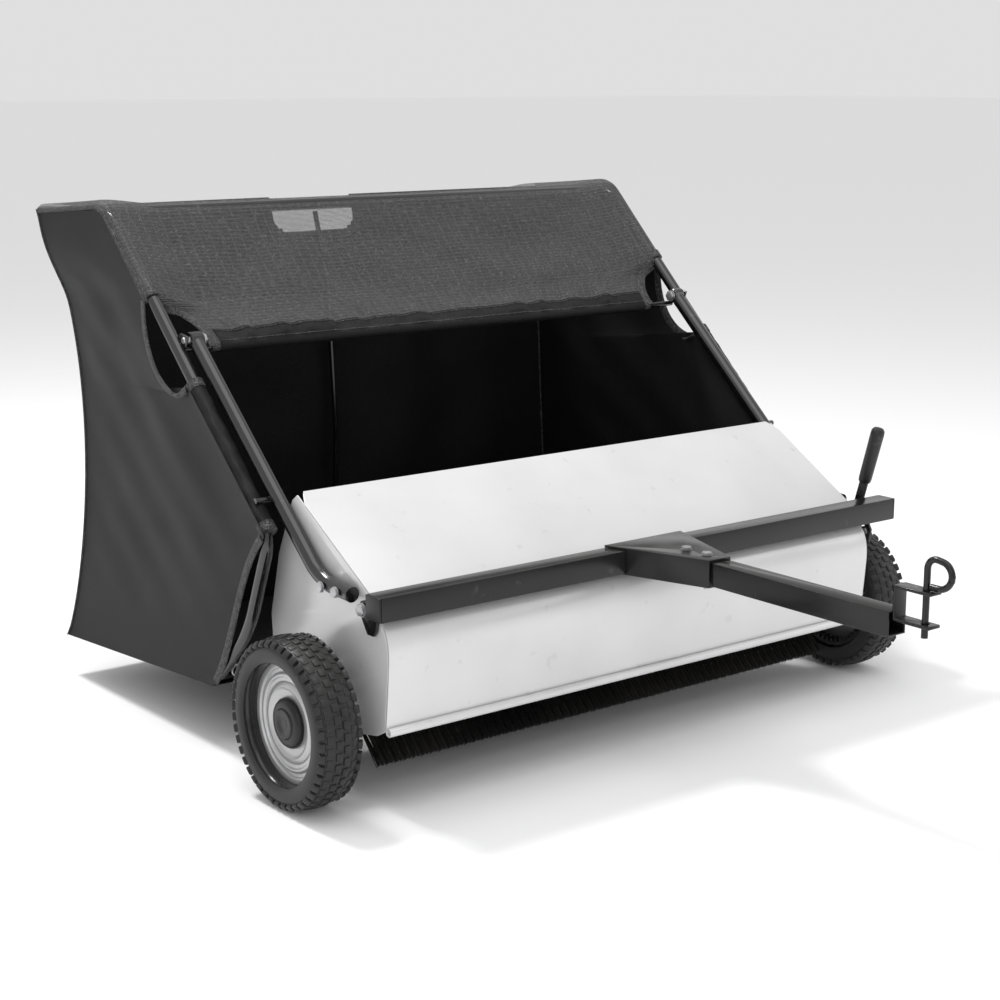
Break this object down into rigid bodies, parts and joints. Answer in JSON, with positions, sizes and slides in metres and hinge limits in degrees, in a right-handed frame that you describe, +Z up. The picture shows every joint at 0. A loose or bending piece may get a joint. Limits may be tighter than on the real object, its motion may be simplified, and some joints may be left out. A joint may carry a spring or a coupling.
{
  "type": "lawn sweeper",
  "caption": "Tow-behind lawn sweeper: a wheel-driven brush in a curved grey steel housing throws leaves into a tipping black fabric hopper behind it.",
  "frame": {"origin": "on the ground, at the middle of the bounding box's bottom face", "axes": "+X across the machine, +Y from the hitch to the hopper's back, +Z up"},
  "size_m": [1.296, 1.6436, 0.893],
  "materials": {
    "tyre": "matt moulded rubber with a block tread",
    "silver_paint": "light grey satin powder coat",
    "black_paint": "semi-gloss black powder coat",
    "black_plastic": "satin moulded plastic",
    "zinc_plate": "bright zinc plate",
    "bristle": "stiff polypropylene bristle",
    "grip_rubber": "smooth dipped vinyl",
    "mesh_cloth": "coarse woven vinyl-coated mesh",
    "coated_cloth": "smooth coated polyester, matt"
  },
  "bodies": {
    "chassis": {"side_plate_left": "silver_paint", "side_plate_right": "silver_paint", "hood": "silver_paint", "front_cover": "silver_paint", "rear_tie_rod": "black_paint", "bush_left": "black_plastic", "bush_right": "black_plastic", "axle_left": "zinc_plate", "axle_right": "zinc_plate", "arm_left": "black_paint", "arm_right": "black_paint", "arm_bolt_front_left": "zinc_plate", "arm_bolt_front_right": "zinc_plate", "arm_bolt_rear_left": "zinc_plate", "arm_bolt_rear_right": "zinc_plate", "hitch_bolt_left": "zinc_plate", "hitch_bolt_right": "zinc_plate", "lever_bolt": "zinc_plate"},
    "wheel_left": {"tyre_left": "tyre", "rim_left": "silver_paint", "ring_gear_left": "black_plastic", "hub_cap_left": "black_plastic"},
    "wheel_right": {"tyre_right": "tyre", "rim_right": "silver_paint", "ring_gear_right": "black_plastic", "hub_cap_right": "black_plastic"},
    "brush": {"brush_shaft": "black_paint", "brush_row_1": "bristle", "brush_row_2": "bristle", "brush_row_3": "bristle", "brush_row_4": "bristle", "pinion_left": "zinc_plate"},
    "pinion_right": {"pinion_right": "zinc_plate"},
    "hitch": {"cross_tube": "black_paint", "end_plug_left": "black_plastic", "end_plug_right": "black_plastic", "tongue": "black_paint", "gusset_top": "black_paint", "gusset_bottom": "black_paint", "tongue_bolt_rear": "zinc_plate", "tongue_bolt_front": "zinc_plate", "clevis": "black_paint"},
    "hitch_pin": {"hitch_pin": "zinc_plate"},
    "lever": {"height_lever": "black_paint", "lever_grip": "grip_rubber"},
    "hopper": {"hopper_side_tube_left": "black_paint", "hopper_side_tube_right": "black_paint", "pivot_pin_left": "zinc_plate", "pivot_pin_right": "zinc_plate", "hopper_rear_tube": "black_paint", "hopper_ridge_tube": "black_paint", "hopper_lip_rod": "black_paint", "hopper_front_tube": "black_paint", "hopper_rear_stay": "black_paint", "bag_side_left": "coated_cloth", "bag_side_right": "coated_cloth", "bag_back": "coated_cloth", "bag_bottom": "coated_cloth", "bag_top": "mesh_cloth", "bag_flap": "mesh_cloth"}
  },
  "joints": [
    {"name": "wheel_left_spin", "type": "hinge", "parent": "chassis", "child": "wheel_left", "pos_m": [-0.61, -0.06721, 0.136], "axis": [1, 0, 0], "continuous": true},
    {"name": "wheel_right_spin", "type": "hinge", "parent": "chassis", "child": "wheel_right", "pos_m": [0.61, -0.06721, 0.136], "axis": [1, 0, 0], "continuous": true},
    {"name": "brush_spin", "type": "hinge", "parent": "chassis", "child": "brush", "pos_m": [0, -0.01895, 0.1765], "axis": [1, 0, 0], "continuous": true},
    {"name": "pinion_right_spin", "type": "hinge", "parent": "chassis", "child": "pinion_right", "pos_m": [0.591, -0.01895, 0.1765], "axis": [1, 0, 0], "continuous": true},
    {"name": "hopper_dump", "type": "hinge", "parent": "chassis", "child": "hopper", "pos_m": [0, 0.33079, 0.676], "axis": [1, 0, 0], "range_deg": [0, 85]},
    {"name": "hitch_tilt", "type": "hinge", "parent": "chassis", "child": "hitch", "pos_m": [0, -0.14721, 0.318], "axis": [1, 0, 0], "range_deg": [-4, 4]},
    {"name": "height_lever", "type": "hinge", "parent": "chassis", "child": "lever", "pos_m": [0.5625, -0.12921, 0.275], "axis": [1, 0, 0], "range_deg": [-10, 10]},
    {"name": "hitch_pin_lift", "type": "slide", "parent": "hitch", "child": "hitch_pin", "axis": [0, 0, 1], "range_m": [0, 0.12]}
  ],
  "couplings": [
    {"joint": "brush_spin", "follows": "wheel_left_spin", "ratio": 4},
    {"joint": "pinion_right_spin", "follows": "wheel_right_spin", "ratio": 4},
    {"joint": "height_lever", "follows": "hitch_tilt", "ratio": 2.5}
  ]
}
